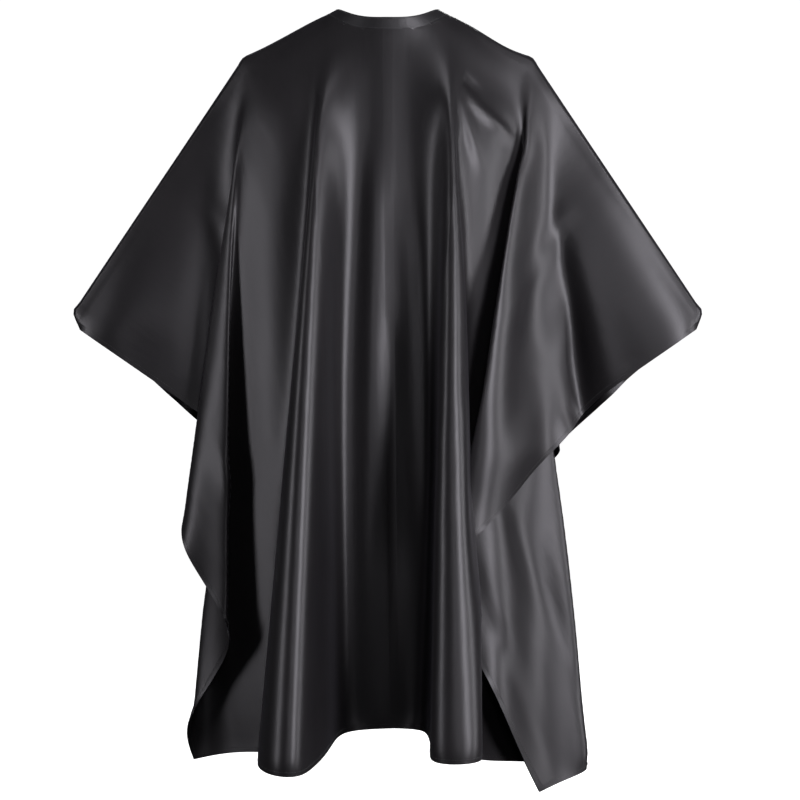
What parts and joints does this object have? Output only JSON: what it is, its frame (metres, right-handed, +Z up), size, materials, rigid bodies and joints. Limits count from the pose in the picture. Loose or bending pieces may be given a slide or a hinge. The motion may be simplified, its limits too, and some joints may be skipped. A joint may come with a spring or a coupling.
{
  "type": "barber cape",
  "caption": "Salon cape: a draped sheet of cloth with a stiffened neck band, wide arm wings and a centre back slit closed by a snap tab.",
  "frame": {"origin": "centre of the neck opening in plan, near the level of the band's seam", "axes": "+Z up along the wearer's spine, -Y towards the front of the wearer, +X to the right as seen from the front"},
  "size_m": [0.936, 0.4804, 1.1146],
  "materials": {
    "cape_cloth": "black satin woven polyester, waterproof finish",
    "band_cloth": "black satin woven polyester, folded and stitched",
    "interlining": "plain woven fusible interlining",
    "snap_metal": "nickel plated, polished"
  },
  "bodies": {
    "root": {"main_panel": "cape_cloth", "neck_band_front": "band_cloth", "band_interlining_front": "interlining"},
    "left_back": {"back_flap_left": "cape_cloth", "neck_band_left": "band_cloth", "band_interlining_left": "interlining", "tab_base": "band_cloth"},
    "right_back": {"back_flap_right": "cape_cloth", "neck_band_right": "band_cloth", "band_interlining_right": "interlining", "snap_studs": "snap_metal", "snap_prong_rings": "snap_metal"},
    "tab": {"closure_tab": "band_cloth", "tab_interlining": "interlining", "snap_sockets": "snap_metal", "snap_caps": "snap_metal"}
  },
  "joints": [
    {"name": "left_back_swing", "type": "hinge", "parent": "root", "child": "left_back", "pos_m": [-0.0474, 0.0612, 0.004], "axis": [0, -0.1026, 0.9947], "range_deg": [0, 70]},
    {"name": "right_back_swing", "type": "hinge", "parent": "root", "child": "right_back", "pos_m": [0.0474, 0.0612, 0.004], "axis": [0, -0.1026, 0.9947], "range_deg": [-70, 0]},
    {"name": "snap_tab_open", "type": "hinge", "parent": "left_back", "child": "tab", "pos_m": [0, 0.0651, 0.013], "axis": [0, 0, 1], "range_deg": [0, 100]}
  ],
  "couplings": [
    {"joint": "right_back_swing", "follows": "left_back_swing", "ratio": -1}
  ]
}
